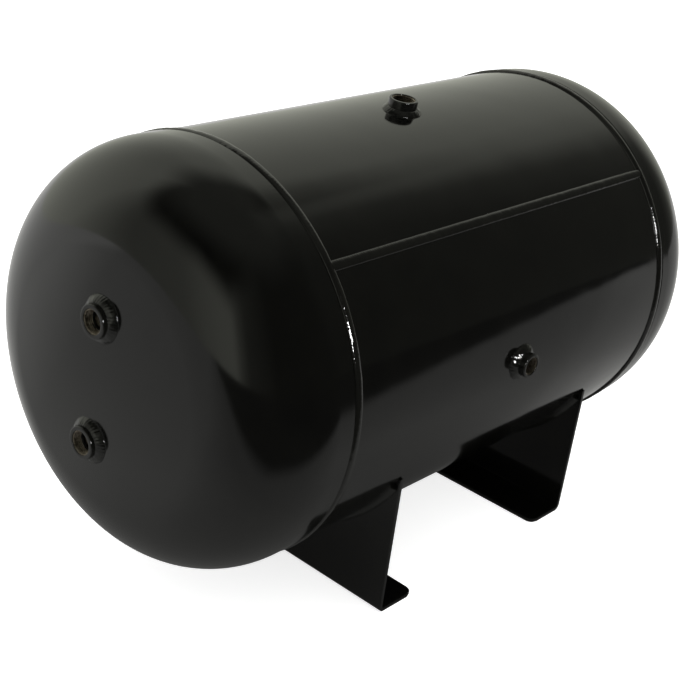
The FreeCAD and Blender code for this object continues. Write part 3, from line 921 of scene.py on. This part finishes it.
@dataclass
class GirthWeld:
    """The bead round a joint of shell and head."""

    name: str
    node: str
    form: TankForm
    joint_y: float
    way: float
    seed: float
    half_width: float = 3.4 * MM
    height: float = 2.1 * MM
    shift: float = -0.8 * MM  # bead's middle, nearer the shell, so a groove shows by the head

    def make(self, tree: Any, enamel: bpy.types.Material) -> None:
        """Lay the bead."""
        radius = self.form.shell_radius - 0.4 * MM
        path = [
            (radius * math.cos(t), radius * math.sin(t), self.shift) for t in turns_of(720)
        ]
        place = self.form.to_world(self.joint_y, self.way)
        lay_bead(self.name, self.node, path, True, place, tree, {
            "Step": 0.5 * MM, "Half Width": self.height, "Height": self.half_width,
            "Power": 0.95, "Ripple Pitch": even_pitch(2 * math.pi * radius, 2.4 * MM),
            "Ripple Depth": 0.05 * MM, "Bow": 1.5 * MM, "Lump Size": 7 * MM,
            "Lump Depth": 0.5 * MM, "Seed": self.seed, "Material": enamel})


@dataclass
class SeamWeld:
    """The long weld between the girth welds, and the spatter beside it."""

    form: TankForm
    half_width: float = 3.85 * MM
    height: float = 2.1 * MM
    sink: float = 0.4 * MM
    spatter_reach: float = 11 * MM

    def make(self, trees: Trees, enamel: bpy.types.Material) -> None:
        """Lay the bead along the shell and scatter its spatter."""
        low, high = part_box("seam_weld")
        middle = (low + high) / 2
        out = Vector((middle.x, 0, middle.z - self.form.axis_z)).normalized()
        along = Vector((0, 1, 0))
        across = out.cross(along)
        base = Vector((0, low.y, self.form.axis_z)) + out * (self.form.shell_radius - self.sink)
        place = Matrix.Translation(base) @ Matrix((along, across, out)).transposed().to_4x4()
        length = high.y - low.y
        margin = 0.6 * MM
        path = [(margin, 0, 0), (length - margin, 0, 0)]
        lay_bead("seam_bead", "seam_weld", path, False, place, trees.bead, {
            "Step": 0.4 * MM, "Half Width": self.half_width, "Height": self.height,
            "Power": 0.9, "Ripple Pitch": 2.1 * MM, "Ripple Depth": 0.045 * MM,
            "Bow": 1.6 * MM, "Lump Size": 9 * MM, "Lump Depth": 0.45 * MM, "Seed": 4.0,
            "Material": enamel})
        self.scatter(trees.spatter, enamel, place, length)

    def scatter(
        self, tree: Any, enamel: bpy.types.Material, place: Matrix, length: float
    ) -> None:
        """Drop spatter on the strip of shell beside the seam."""
        rows = 12
        points, faces = [], []
        radius = self.form.shell_radius
        for i in range(rows + 1):
            y = self.spatter_reach * (2 * i / rows - 1)
            z = math.sqrt(radius**2 - y**2) - radius + self.sink
            points += [(0.02, y, z), (length - 0.02, y, z)]
        for i in range(rows):
            faces.append((2 * i, 2 * i + 1, 2 * i + 3, 2 * i + 2))
        piece = grow("seam_spatter", mesh_of("spatter_strip", points, faces), tree, {
            "Density": 5200.0, "Smallest": 0.15 * MM, "Largest": 0.5 * MM, "Seed": 7,
            "Material": enamel})
        piece.data.transform(place)
        finish_piece(piece, Slot.WELD.value)


@dataclass
class Foot:
    """A foot bent from sheet: an upright plate with a saddle, and a flange on the floor."""

    name: str
    node: str
    form: TankForm
    way: float  # 1 where the flange runs towards +Y from the plate
    bend: float = 5.0 * MM  # outside radius of the bend
    corner: float = 7.0 * MM
    columns: int = 72
    edge_round: float = 0.45 * MM
    flare: float = 2.5 * MM

    def make(self, enamel: bpy.types.Material) -> None:
        """Bend the sheet from a grid, give it its thickness and round its edges."""
        low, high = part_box(self.node)
        top_half = (high.x - low.x) / 2
        half = top_half - self.flare
        horn = high.z
        width = high.y - low.y
        axis_z, radius = self.form.axis_z, self.form.shell_radius
        tip = math.sqrt(radius**2 - (axis_z - horn) ** 2) / top_half

        def half_at(z: float) -> float:
            """Half the plate's width at a height."""
            return half + self.flare * z / horn

        def top_at(share: float) -> float:
            """Height of the plate's top at a share of its half width."""
            if abs(share) >= tip:
                return horn
            z = horn
            for _ in range(12):  # the height and the width settle on each other
                z = axis_z - math.sqrt(max(radius**2 - (share * half_at(z)) ** 2, 0.0))
            return min(z, horn)

        inner = [tip * math.sin(math.pi / 2 * i / self.columns) for i in range(self.columns + 1)]
        shares = [-1.0, *[-s for s in reversed(inner)], *inner[1:], 1.0]
        upright, curve, flat = 30, 10, 16
        rows = upright + curve + flat + 1
        points: list[tuple[float, float, float]] = []
        for share in shares:
            top = top_at(share)
            for i in range(upright):
                z = top + (self.bend - top) * i / upright
                points.append((share * half_at(z), 0.0, z))
            for i in range(curve):
                turn = math.pi / 2 * i / curve
                y = self.bend * (1 - math.cos(turn))
                z = self.bend * (1 - math.sin(turn))
                points.append((share * half_at(z), y, z))
            edge = width
            over = abs(share) * half - (half - self.corner)
            if over > 0:
                edge = width - self.corner + math.sqrt(max(self.corner**2 - over**2, 0.0))
            for i in range(flat + 1):
                y = self.bend + (edge - self.bend) * i / flat
                points.append((share * half, y, 0.0))
        faces = []
        for c in range(len(shares) - 1):
            for r in range(rows - 1):
                a = c * rows + r
                faces.append((a, a + 1, a + rows + 1, a + rows))
        front_y = low.y if self.way > 0 else high.y
        mesh = mesh_of(self.name, points, faces)
        if self.way < 0:
            mesh.transform(Matrix.Rotation(math.pi, 4, "Z"))
        mesh.transform(Matrix.Translation((0, front_y, 0)))
        piece = new_object(self.name, mesh)
        # The grid is the sheet's outer skin, so its thickness goes towards the bend's inside.
        first = piece.data.polygons[0].normal
        thick = piece.modifiers.new("thickness", "SOLIDIFY")
        thick.thickness = FOOT_SHEET
        thick.offset = -1.0 if first.y * self.way < 0 else 1.0
        thick.use_even_offset = True
        thick.use_rim = True
        soften = piece.modifiers.new("edges", "BEVEL")
        soften.width = self.edge_round
        soften.segments = 3
        soften.limit_method = "ANGLE"
        soften.angle_limit = math.radians(50)
        soften.use_clamp_overlap = True
        settle(piece, enamel)
        face_out(piece.data)
        piece.data.set_sharp_from_angle(angle=math.radians(40))
        finish_piece(piece, Slot.FOOT.value, self.node)


@dataclass
class FootWeld:
    """A fillet of weld along a foot's saddle, on one face of its plate."""

    node: str
    form: TankForm
    seed: float
    leg: float = 4.0 * MM

    def make(self, tree: Any, enamel: bpy.types.Material) -> None:
        """Lay the bead along the saddle, in the box of the fillet that it stands for."""
        low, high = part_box(self.node)
        # The fillet's thick side, one end of its box along Y, is the one at the plate.
        face = self.plate_face()
        plate_y = min((low.y, high.y), key=lambda y: abs(y - face))
        out = 1.0 if plate_y == low.y else -1.0
        radius = self.form.shell_radius - 0.2 * MM
        half = math.asin(((high.x - low.x) / 2 - self.leg * 0.7) / radius)
        steps = 160
        path = []
        for i in range(steps + 1):
            turn = -half + 2 * half * i / steps
            path.append((radius * math.sin(turn), -radius * math.cos(turn), 0.0))
        spot = Matrix.Translation((0, plate_y - out * 0.1 * MM, self.form.axis_z))
        place = spot @ Matrix.Rotation(math.radians(90), 4, "X")
        name = f"{self.node.removesuffix('_weld')}_bead"
        lay_bead(name, self.node, path, False, place, tree, {
            "Step": 0.6 * MM, "Half Width": self.leg * 1.05, "Height": self.leg * 1.05,
            "Power": 1.6, "Ripple Pitch": 2.2 * MM, "Ripple Depth": 0.12 * MM,
            "Bow": 1.3 * MM, "Lump Size": 8 * MM, "Lump Depth": 0.6 * MM, "Seed": self.seed,
            "Material": enamel})

    def plate_face(self) -> float:
        """The face of the foot's upright plate that this weld runs along."""
        foot, side, _ = self.node.rsplit("_", 2)
        low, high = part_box(foot)
        outer, inwards = (low.y, 1.0) if foot == "front_foot" else (high.y, -1.0)
        return outer if side == "outer" else outer + inwards * FOOT_SHEET


# ---------------------------------------------------------------- the studio


def set_stops(ramp: bpy.types.Node, stops: Sequence[tuple[float, float]]) -> None:
    """Give a colour ramp its grey stops.

    Args:
        ramp: the ramp's node.
        stops: a bearing in degrees from +Y towards +X, and the level there.
    """
    elements = ramp.color_ramp.elements
    while len(elements) < len(stops):
        elements.new(0.5)
    for element, (bearing, level) in zip(elements, stops):
        element.position = (bearing + 180) / 360
        element.color = (level, level, level, 1.0)


def level_square(name: str, reach: float, height: float = 0.0) -> bpy.types.Object:
    """A level square round the origin, from minus reach to reach."""
    corners = [(x * reach, y * reach, height) for x, y in ((-1, -1), (1, -1), (1, 1), (-1, 1))]
    return new_object(name, mesh_of(name, corners, [(0, 1, 2, 3)]))


def area_lamp(name: str, shape: str, size: float, energy: float) -> bpy.types.Object:
    """An area lamp in the scene."""
    data = bpy.data.lights.new(name, "AREA")
    data.shape, data.size, data.energy = shape, size, energy
    lamp = bpy.data.objects.new(name, data)
    bpy.context.scene.collection.objects.link(lamp)
    return lamp


@dataclass
class Studio:
    """A pale floor, soft light, and the room that the gloss reflects."""

    centre: Vector
    azimuth: float = 40.17
    elevation: float = 24.96
    roll: float = 6.70
    distance: float = 1.0753
    slide_right: float = -0.02124
    slide_up: float = -0.03881
    lens_mm: float = 71.62
    sensor_mm: float = 36.0

    def make_camera(self) -> None:
        """Stand the camera off the tank's middle, turned a little on its own axis."""
        az, el, roll = (math.radians(v) for v in (self.azimuth, self.elevation, self.roll))
        back = Vector(
            (math.sin(az) * math.cos(el), -math.cos(az) * math.cos(el), math.sin(el))
        )
        level = Vector((math.cos(az), math.sin(az), 0))
        upright = back.cross(level)
        right = level * math.cos(roll) + upright * math.sin(roll)
        up = upright * math.cos(roll) - level * math.sin(roll)
        data = bpy.data.cameras.new("camera")
        data.lens = self.lens_mm
        data.sensor_width = self.sensor_mm
        data.clip_start, data.clip_end = 0.01, 50.0
        camera = bpy.data.objects.new("camera", data)
        bpy.context.scene.collection.objects.link(camera)
        spot = self.centre + back * self.distance + right * self.slide_right + up * self.slide_up
        turn = Matrix((right, up, back)).transposed().to_4x4()
        camera.matrix_world = Matrix.Translation(spot) @ turn
        bpy.context.scene.camera = camera

    def make_floor(self) -> None:
        """A wide sheet of matt white paper."""
        floor = level_square("floor", reach=7.0)
        material, node, _ = new_material("matt_white_paper")
        shader = node("ShaderNodeBsdfPrincipled", {
            "Base Color": linear("#f6f6f5"), "Roughness": 0.8, "Specular IOR Level": 0.1,
            "Emission Color": (1.0, 1.0, 1.0, 1.0), "Emission Strength": 0.72})
        node("ShaderNodeOutputMaterial", {"Surface": shader})
        floor.data.materials.append(material)
        floor.visible_glossy = False

    def make_light(self) -> None:
        """White light from all round, and a soft box overhead; neither shows in the gloss."""
        world = bpy.data.worlds.new("white_room")
        world.use_nodes = True
        ground = world.node_tree.nodes["Background"]
        ground.inputs["Color"].default_value = (1.0, 1.0, 1.0, 1.0)
        ground.inputs["Strength"].default_value = 1.0
        world.cycles_visibility.glossy = False
        bpy.context.scene.world = world
        box = area_lamp("soft_box", "SQUARE", size=3.0, energy=30.0)
        box.location = (-0.6, 0.0, 2.6)
        box.rotation_euler = (0, math.radians(-12), 0)
        box.visible_glossy = False

    def make_glints(self, lit: Sequence[bpy.types.Object]) -> None:
        """Small bright lamps that only the weld metal and its spatter catch.

        Args:
            lit: the pieces that they light.
        """
        group = bpy.data.collections.new("weld_metal")
        for piece in lit:
            group.objects.link(piece)
        for i, spot in enumerate(((1.6, -0.12, 0.58), (1.5, -0.62, 0.42))):
            lamp = area_lamp(f"glint_{i}", "DISK", size=0.26, energy=14.0)
            lamp.location = self.centre + Vector(spot)
            lamp.rotation_euler = Vector(spot).to_track_quat("Z", "Y").to_euler()
            lamp.light_linking.receiver_collection = group

    def hide_from_all_but_gloss(self, card: bpy.types.Object) -> None:
        """Leave a card to be seen in reflections only."""
        card.visible_camera = False
        card.visible_diffuse = False
        card.visible_shadow = False
        card.visible_transmission = False
        card.visible_volume_scatter = False

    def make_room(self) -> None:
        """The room in the gloss: a bright wall on the left, a dim one behind, dark on the right."""
        radius = 4.0
        section = arc((0.0, 0.0), radius, 0, 90, 24)
        section[-1] = (0.0, radius)
        mesh = turned("mirrored_room", [(radius, -0.3), *section], 96, closed=False)
        room = new_object("mirrored_room", mesh)
        material, node, place = new_material("room_in_the_gloss")
        axes = node("ShaderNodeSeparateXYZ", {0: place})
        bearing = node("ShaderNodeMath", {
            "operation": "ARCTAN2", 0: axes.outputs["X"], 1: axes.outputs["Y"]})
        share = node("ShaderNodeMapRange", {
            "From Min": -math.pi, "From Max": math.pi, "Value": bearing})
        round_room = node("ShaderNodeValToRGB", {"Fac": share})
        set_stops(round_room, [
            (-180, 0.58), (-168, 0.42), (-156, 0.36), (-144, 0.30), (-138, 0.38), (-132, 0.56),
            (-121, 0.86), (-108, 0.83), (-96, 0.76), (-84, 0.68), (-72, 0.65), (-60, 0.70),
            (-48, 0.66), (-12, 0.62), (0, 0.50), (12, 0.16), (24, 0.09), (60, 0.04),
            (118, 0.03), (144, 0.14), (151, 0.35), (157, 0.74), (168, 0.70), (180, 0.58)])
        edge = node("ShaderNodeValToRGB", {"Fac": share})
        tops = (
            (-180, 41), (-144, 39), (-132, 47), (-120, 57), (-108, 64), (-48, 66), (-24, 60),
            (-10, 51), (0, 49), (24, 75), (60, 70), (120, 60), (144, 45), (156, 34), (180, 41))
        set_stops(edge, [(bearing, angle / 90) for bearing, angle in tops])
        out = node("ShaderNodeVectorMath", {"operation": "NORMALIZE", 0: place})
        upward = node("ShaderNodeSeparateXYZ", {0: out})
        lift = node("ShaderNodeMath", {"operation": "ARCSINE", 0: upward.outputs["Z"]})
        height = node("ShaderNodeMath", {"operation": "DIVIDE", 1: math.pi / 2, 0: lift})
        over = node("ShaderNodeMath", {"operation": "SUBTRACT", 0: height, 1: edge})
        fall = node("ShaderNodeMapRange", {
            "interpolation_type": "SMOOTHSTEP", "From Min": -0.12, "From Max": 0.11, "To Min": 1.0,
            "To Max": 0.0, "Value": over})
        ceiling = node("ShaderNodeMapRange", {
            "interpolation_type": "SMOOTHSTEP", "From Min": 0.5, "From Max": 0.82, "To Min": 0.0,
            "To Max": 0.155, "Value": height})
        bright = node("ShaderNodeMath", {
            "operation": "MULTIPLY_ADD", 0: round_room, 1: fall, 2: ceiling})
        glow = node("ShaderNodeEmission", {"Color": (0.98, 1.0, 0.87, 1.0), "Strength": bright})
        node("ShaderNodeOutputMaterial", {"Surface": glow})
        room.data.materials.append(material)
        self.hide_from_all_but_gloss(room)

    def make_mirrored_floor(self) -> None:
        """The floor in the gloss: brighter by the bright wall, and dark past the paper's edge."""
        card = level_square("mirrored_floor", reach=3.95, height=-1.0 * MM)
        material, node, place = new_material("floor_in_the_gloss")
        axes = node("ShaderNodeSeparateXYZ", {0: place})
        # The paper's edge runs slantwise on the right, and the bright wall lights it on the left.
        slant = node("ShaderNodeMath", {
            "operation": "MULTIPLY_ADD", 1: 0.45, 2: 0.42, 0: axes.outputs["Y"]})
        limit = node("ShaderNodeMath", {"operation": "MAXIMUM", 1: 0.30, 0: slant})
        past = node("ShaderNodeMath", {"operation": "SUBTRACT", 0: axes.outputs["X"], 1: limit})
        edge = node("ShaderNodeMapRange", {
            "From Min": -0.03, "From Max": 0.05, "To Min": 1.0, "To Max": 0.0, "Value": past})
        minus = node("ShaderNodeMath", {"operation": "MULTIPLY", 1: -1.0, 0: axes.outputs["X"]})
        left = node("ShaderNodeMath", {
            "operation": "MULTIPLY_ADD", 1: 0.8, 0: axes.outputs["Y"], 2: minus})
        lit = node("ShaderNodeMapRange", {
            "From Min": 0.04, "From Max": 0.24, "To Min": 0.41, "To Max": 0.75, "Value": left})
        right = node("ShaderNodeMapRange", {
            "From Min": 0.0, "From Max": 0.22, "To Min": 1.0, "To Max": 0.62,
            "Value": axes.outputs["X"]})
        side = node("ShaderNodeMath", {"operation": "MULTIPLY", 0: lit, 1: right})
        spot = node("ShaderNodeVectorMath", {
            "operation": "MULTIPLY_ADD", 1: (1 / 0.23, 1 / 0.34, 0.0), 2: (0.0, -0.26, 0.0),
            0: place})
        away = node("ShaderNodeVectorMath", {"operation": "LENGTH", 0: spot})
        shade = node("ShaderNodeMapRange", {
            "interpolation_type": "SMOOTHSTEP", "From Min": 0.35, "From Max": 1.35, "To Min": 0.1,
            "To Max": 1.0, "Value": away.outputs["Value"]})
        shaded = node("ShaderNodeMath", {"operation": "MULTIPLY", 0: side, 1: shade})
        level = node("ShaderNodeMath", {"operation": "MULTIPLY_ADD", 2: 0.03, 0: edge, 1: shaded})
        glow = node("ShaderNodeEmission", {"Color": (1.0, 1.0, 0.97, 1.0), "Strength": level})
        node("ShaderNodeOutputMaterial", {"Surface": glow})
        card.data.materials.append(material)
        self.hide_from_all_but_gloss(card)


# ---------------------------------------------------------------- everything, in order


def main() -> None:
    """Build the tank round its frame, and the studio round the tank."""
    logging.basicConfig(level=logging.INFO, format="%(message)s")
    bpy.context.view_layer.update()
    form = TankForm.from_frame()
    studio = Studio(Vector((0, STUDIO_MIDDLE_Y, form.axis_z)))
    studio.make_camera()
    finishes = build_finishes()
    trees = Trees(bead_tree(), spatter_tree(), thread_tree())

    head_ports = [
        Port(
            name, form, wall=4.55 * MM, countersink=1.35 * MM, leg=4.5 * MM, lump=1.1 * MM,
            seed=seed, on_head=True)
        for name, seed in (("head_upper_port", 1.3), ("head_lower_port", 2.7))
    ]
    shell_ports = [
        Port(
            name, form, wall=wall * MM, countersink=countersink * MM, leg=leg * MM,
            lump=lump * MM, seed=seed)
        for name, wall, countersink, leg, lump, seed in (
            ("top_port", 3.55, 1.35, 3.5, 1.5, 5.1),
            ("side_port", 3.6, 1.3, 4.2, 2.2, 6.4),
            ("drain_port", 3.6, 1.3, 3.5, 1.2, 7.9),
        )
    ]

    Barrel(form).make(finishes[Slot.SHELL], shell_ports)
    ends = (("front", form.front_joint, -1, head_ports), ("rear", form.rear_joint, 1, []))
    for end, joint_y, way, ports in ends:
        head = DishedHead(f"{end}_dished_head", f"{end}_head", form, joint_y, way)
        head.make(finishes[Slot.HEAD], ports)
    for (end, joint_y, way, _), seed in zip(ends, (0.5, 3.5)):
        girth = GirthWeld(f"{end}_girth_bead", f"{end}_girth_weld", form, joint_y, way, seed)
        girth.make(trees.bead, finishes[Slot.WELD])
    SeamWeld(form).make(trees, finishes[Slot.WELD])
    for port in head_ports + shell_ports:
        port.make_boss(finishes[Slot.PORT])
        port.make_thread(trees.thread, finishes[Slot.THREAD])
        port.make_bead(trees.bead, finishes[Slot.WELD])
    Foot("front_bent_foot", "front_foot", form, 1).make(finishes[Slot.FOOT])
    Foot("rear_bent_foot", "rear_foot", form, -1).make(finishes[Slot.FOOT])
    sides = ("front_foot_outer", "front_foot_inner", "rear_foot_outer", "rear_foot_inner")
    for seed, side in enumerate(sides):
        FootWeld(f"{side}_weld", form, 11.0 + seed).make(trees.bead, finishes[Slot.WELD])

    studio.make_floor()
    studio.make_light()
    studio.make_glints(
        [piece for piece in bpy.data.objects if piece.name.endswith(("_bead", "_spatter", "_boss"))]
    )
    studio.make_room()
    studio.make_mirrored_floor()
    bpy.context.scene.view_settings.view_transform = "Standard"


if __name__ == "__main__":
    main()
